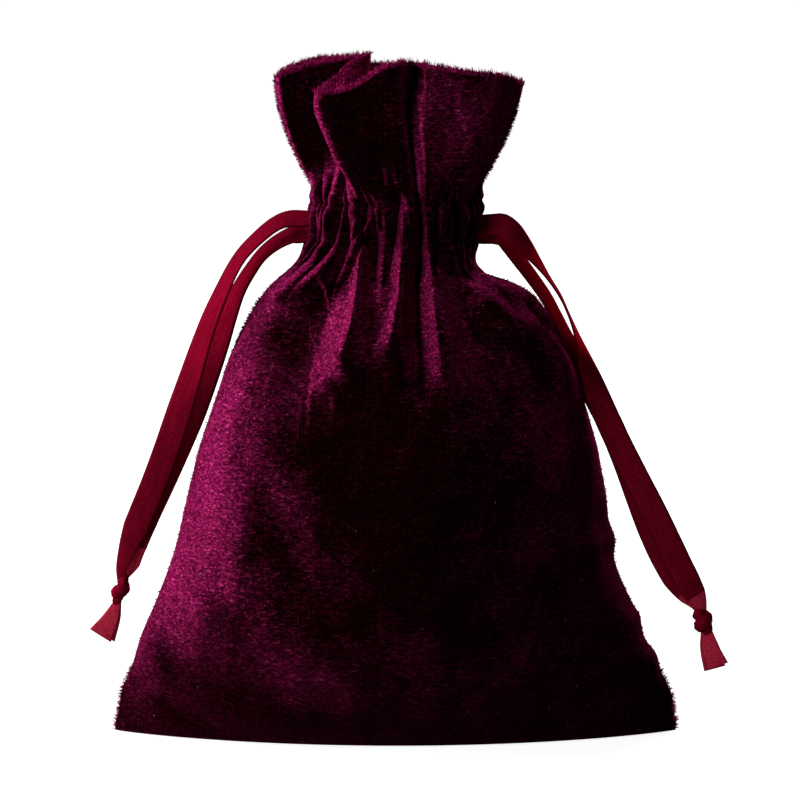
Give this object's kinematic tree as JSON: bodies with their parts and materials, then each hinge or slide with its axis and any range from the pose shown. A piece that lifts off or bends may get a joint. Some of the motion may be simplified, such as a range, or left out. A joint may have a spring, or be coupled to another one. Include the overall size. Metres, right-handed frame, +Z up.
{
  "type": "drawstring gift pouch",
  "caption": "Velvet drawstring gift pouch drawn closed, with a flared header, a stitched casing at the neck and satin ribbons that hang from side slits to knots.",
  "frame": {"origin": "middle of the base, on the surface that the pouch stands on", "axes": "+Z up through the mouth, +X across the pouch towards the right ribbon, -Y towards the front panel"},
  "size_m": [0.1501, 0.0584, 0.1595],
  "materials": {
    "velvet": "deep burgundy cotton-back velvet with a short dense pile, magenta where the pile catches the light",
    "velvet_inside": "woven back of the burgundy velvet, matt",
    "satin": "wine-red satin ribbon with a soft gloss along its length and firm woven edges",
    "thread": "matching burgundy sewing thread"
  },
  "bodies": {
    "pouch": {"back_casing": "velvet", "back_facing": "velvet_inside", "back_lower_stitching": "thread", "back_panel": "velvet", "back_upper_stitching": "thread", "bottom_seam_allowance": "velvet_inside", "bottom_seam_stitching": "thread", "front_casing": "velvet", "front_facing": "velvet_inside", "front_lower_stitching": "thread", "front_panel": "velvet", "front_upper_stitching": "thread", "left_ribbon_in_casing": "satin", "left_seam_allowance": "velvet_inside", "left_seam_stitching": "thread", "right_ribbon_in_casing": "satin", "right_seam_allowance": "velvet_inside", "right_seam_stitching": "thread"},
    "front_header": {"front_header": "velvet"},
    "back_header": {"back_header": "velvet"},
    "left_drawstring": {"left_ribbon_front_run": "satin", "left_ribbon_back_run": "satin"},
    "right_drawstring": {"right_ribbon_front_run": "satin", "right_ribbon_back_run": "satin"},
    "left_ribbon_end": {"left_ribbon_front_strand": "satin", "left_ribbon_back_strand": "satin", "left_ribbon_front_tail": "satin", "left_ribbon_back_tail": "satin", "left_ribbon_knot": "satin"},
    "right_ribbon_end": {"right_ribbon_front_strand": "satin", "right_ribbon_back_strand": "satin", "right_ribbon_front_tail": "satin", "right_ribbon_back_tail": "satin", "right_ribbon_knot": "satin"}
  },
  "joints": [
    {"name": "front_header_fold", "type": "hinge", "parent": "pouch", "child": "front_header", "pos_m": [0, -0.011, 0.1254], "axis": [1, 0, 0], "range_deg": [0, 30]},
    {"name": "back_header_fold", "type": "hinge", "parent": "pouch", "child": "back_header", "pos_m": [0, 0.011, 0.1254], "axis": [-1, 0, 0], "range_deg": [0, 30]},
    {"name": "left_drawstring_pull", "type": "slide", "parent": "pouch", "child": "left_drawstring", "axis": [-1, 0, 0], "range_m": [0, 0.006]},
    {"name": "right_drawstring_pull", "type": "slide", "parent": "pouch", "child": "right_drawstring", "axis": [1, 0, 0], "range_m": [0, 0.006]},
    {"name": "left_ribbon_lift", "type": "hinge", "parent": "left_drawstring", "child": "left_ribbon_end", "pos_m": [-0.0228, 0, 0.1236], "axis": [0, 1, 0], "range_deg": [0, 60]},
    {"name": "right_ribbon_lift", "type": "hinge", "parent": "right_drawstring", "child": "right_ribbon_end", "pos_m": [0.0228, 0, 0.123], "axis": [0, -1, 0], "range_deg": [0, 60]}
  ]
}
